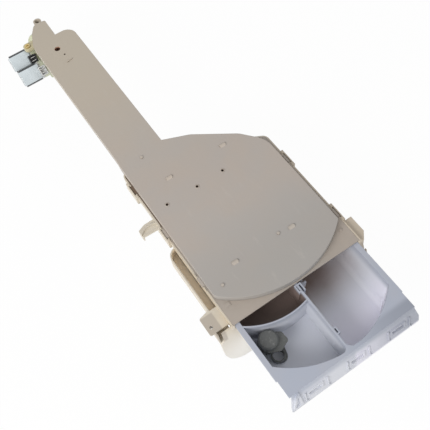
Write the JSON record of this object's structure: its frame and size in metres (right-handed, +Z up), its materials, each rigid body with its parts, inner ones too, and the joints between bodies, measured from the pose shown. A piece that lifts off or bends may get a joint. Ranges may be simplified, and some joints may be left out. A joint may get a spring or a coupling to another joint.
{
  "type": "washing machine dispenser housing",
  "caption": "Washing machine detergent dispenser: leaning-front tub with pull-out drawer, water distributor with a long rear arm, and a double inlet valve on its end.",
  "frame": {"origin": "on the face of the front flange, on the drawer's centre line, in the middle of the flange's lower border", "axes": "+X right seen from the front, +Y back along the arm to the inlet valve, +Z up; the drawer pulls out along -Y"},
  "size_m": [0.2325, 0.6888, 0.1259],
  "materials": {
    "cover_plastic": "moulded polypropylene, warm grey, satin",
    "cream_plastic": "moulded polypropylene, cream, satin",
    "drawer_plastic": "moulded polypropylene, cool light grey, semi-gloss",
    "dark_plastic": "moulded polypropylene, dark grey",
    "nylon": "natural nylon, pale green-cream, slightly translucent look",
    "white_plastic": "white moulding",
    "black_plastic": "black coil moulding",
    "rubber": "black rubber",
    "steel": "zinc-plated steel strip",
    "stainless": "ground stainless steel",
    "tinned_metal": "tinned brass",
    "zinc_steel": "yellow-passivated zinc on steel"
  },
  "bodies": {
    "housing": {"top_cover": "cover_plastic", "distributor_plate": "cover_plastic", "dispenser_tub": "cream_plastic", "fixing_ear": "cream_plastic", "valve_body": "nylon", "inlet_strainer": "white_plastic", "flow_regulator": "rubber", "outlet_seal_1": "rubber", "outlet_seal_2": "rubber", "diaphragm_1": "rubber", "diaphragm_2": "rubber", "guide_tube_1": "white_plastic", "guide_tube_2": "white_plastic", "plunger_spring_1": "stainless", "plunger_spring_2": "stainless", "coil_1": "black_plastic", "coil_2": "white_plastic", "yoke_1": "steel", "yoke_2": "steel", "terminals_1": "tinned_metal", "terminals_2": "tinned_metal", "valve_screw": "zinc_steel"},
    "drawer_unit": {"drawer": "drawer_plastic", "siphon_cap": "dark_plastic"},
    "plunger_unit_1": {"plunger_1": "stainless"},
    "plunger_unit_2": {"plunger_2": "stainless"}
  },
  "joints": [
    {"name": "drawer_slide", "type": "slide", "parent": "housing", "child": "drawer_unit", "axis": [0, -1, 0], "range_m": [-0.096, 0]},
    {"name": "plunger_1_slide", "type": "slide", "parent": "housing", "child": "plunger_unit_1", "axis": [-1, 0, 0], "range_m": [0, 0.0025], "stiffness_N_per_m": 120, "springref_m": -0.008, "deforming": ["plunger_spring_1"]},
    {"name": "plunger_2_slide", "type": "slide", "parent": "housing", "child": "plunger_unit_2", "axis": [-1, 0, 0], "range_m": [0, 0.0025], "stiffness_N_per_m": 120, "springref_m": -0.008, "deforming": ["plunger_spring_2"]}
  ]
}
